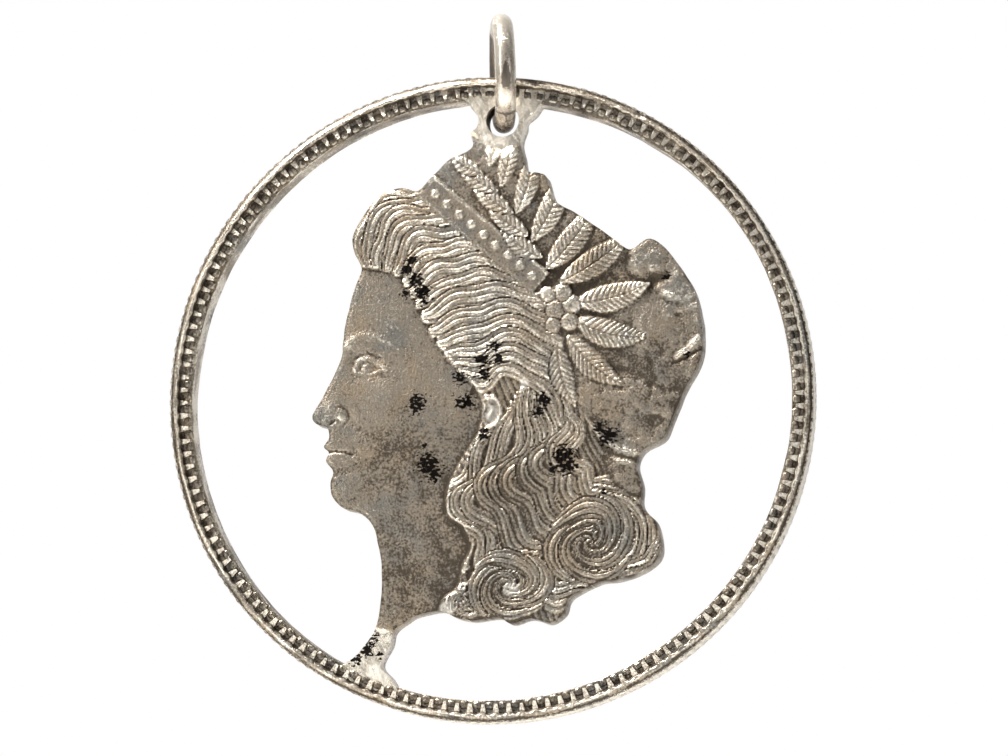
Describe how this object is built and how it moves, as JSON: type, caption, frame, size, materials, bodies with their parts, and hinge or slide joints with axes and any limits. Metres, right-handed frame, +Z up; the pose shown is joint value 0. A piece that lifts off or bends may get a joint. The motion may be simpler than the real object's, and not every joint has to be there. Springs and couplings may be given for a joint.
{
  "type": "coin pendant",
  "caption": "Pendant sawn from a silver coin: a reeded border ring joined by a drilled tab and a small bridge to a classical head in relief, hung on a round-wire jump ring.",
  "frame": {"origin": "inside top of the jump ring, where a chain bears", "axes": "+Z up as the pendant hangs, -Y the way the coin's face looks, +X to the viewer's right"},
  "size_m": [0.0381, 0.007, 0.0419],
  "materials": {
    "coin_silver": "struck coin silver, toned grey-brown in the hollows, worn pale on the ridges, with black stains",
    "ring_silver": "bright drawn silver wire, with a soldered seam"
  },
  "bodies": {
    "hanger": {"jump_ring": "ring_silver"},
    "coin": {"cut_coin": "coin_silver"}
  },
  "joints": [
    {"name": "coin_sway", "type": "hinge", "parent": "hanger", "child": "coin", "pos_m": [0.00018, 0, -0.00522], "axis": [0, 1, 0], "range_deg": [-50, 50]}
  ]
}
